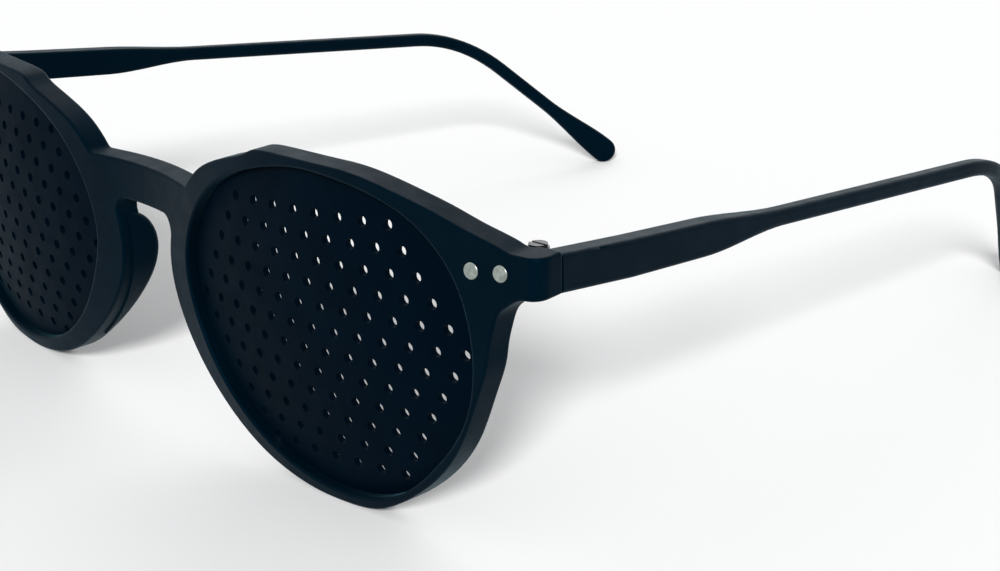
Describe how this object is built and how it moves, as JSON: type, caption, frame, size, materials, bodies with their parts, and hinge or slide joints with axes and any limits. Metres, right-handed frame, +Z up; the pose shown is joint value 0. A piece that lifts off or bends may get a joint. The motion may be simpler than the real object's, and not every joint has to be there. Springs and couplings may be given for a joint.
{
  "type": "pinhole glasses",
  "caption": "Round full-rim glasses with perforated opaque plates in place of lenses, moulded nose pads and folding temples with bent ear tips.",
  "frame": {"origin": "middle of the footprint of the open glasses, on the table they stand on", "axes": "+X to the wearer's left, -Y the way the front faces, +Z up; the temples run to +Y"},
  "size_m": [0.1394, 0.128, 0.0422],
  "materials": {
    "frame": "soft satin",
    "plate": "satin",
    "temple": "soft satin",
    "core": "drawn wire",
    "hinge": "darkened",
    "screw": "darkened",
    "rivet": "bright satin"
  },
  "bodies": {
    "front": {"front_frame": "frame", "pinhole_plate_left": "plate", "pinhole_plate_right": "plate", "front_hinge_left": "hinge", "front_hinge_right": "hinge", "hinge_screw_left": "screw", "hinge_screw_right": "screw", "inner_rivet_left": "rivet", "inner_rivet_right": "rivet", "outer_rivet_left": "rivet", "outer_rivet_right": "rivet"},
    "temple_left": {"temple_left": "temple", "temple_core_left": "core", "temple_hinge_left": "hinge"},
    "temple_right": {"temple_right": "temple", "temple_core_right": "core", "temple_hinge_right": "hinge"}
  },
  "joints": [
    {"name": "temple_left_fold", "type": "hinge", "parent": "front", "child": "temple_left", "pos_m": [0.06472, -0.05317, 0.0342], "axis": [0, 0, 1], "range_deg": [0, 80]},
    {"name": "temple_right_fold", "type": "hinge", "parent": "front", "child": "temple_right", "pos_m": [-0.06472, -0.05317, 0.0342], "axis": [0, 0, -1], "range_deg": [0, 70]}
  ]
}
